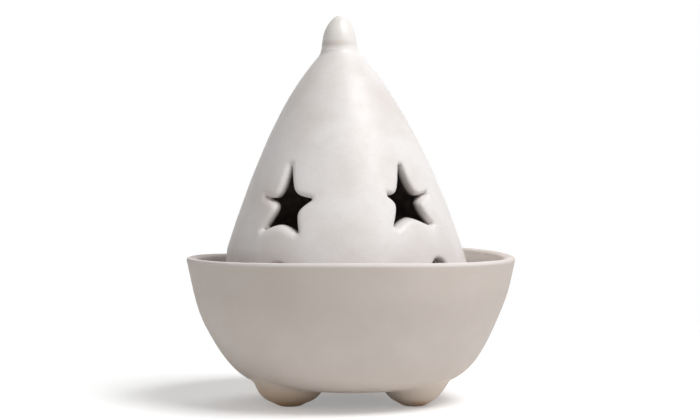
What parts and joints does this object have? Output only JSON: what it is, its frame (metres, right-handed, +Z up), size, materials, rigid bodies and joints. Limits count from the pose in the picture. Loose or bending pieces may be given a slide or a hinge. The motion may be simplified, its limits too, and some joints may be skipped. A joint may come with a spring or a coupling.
{
  "type": "incense cone burner",
  "caption": "Ceramic incense cone burner: round bowl on ball feet with an inner ledge, and a tall ogive lid pierced with star windows that lifts off by a knob.",
  "frame": {"origin": "on the bowl's axis, on the table that the ball feet stand on", "axes": "+Z up, along the bowl's axis and the lid's lift; +X to the right and -Y to the front, as the burner is usually seen"},
  "size_m": [0.105, 0.105, 0.1242],
  "materials": {
    "bowl_bisque": "matt off-white bisque",
    "foot_bisque": "matt bisque, warmer towards the worn underside",
    "rest_bisque": "matt bisque, coarser",
    "lid_bisque": "matt off-white bisque, smoothed",
    "knob_bisque": "bisque, slightly polished by handling"
  },
  "bodies": {
    "bowl": {"bowl": "bowl_bisque", "foot_left": "foot_bisque", "foot_right": "foot_bisque", "foot_back": "foot_bisque", "cone_rest": "rest_bisque"},
    "lid": {"lid": "lid_bisque", "knob": "knob_bisque"}
  },
  "joints": [
    {"name": "lid_lift", "type": "slide", "parent": "bowl", "child": "lid", "axis": [0, 0, 1], "range_m": [0, 0.06]}
  ]
}
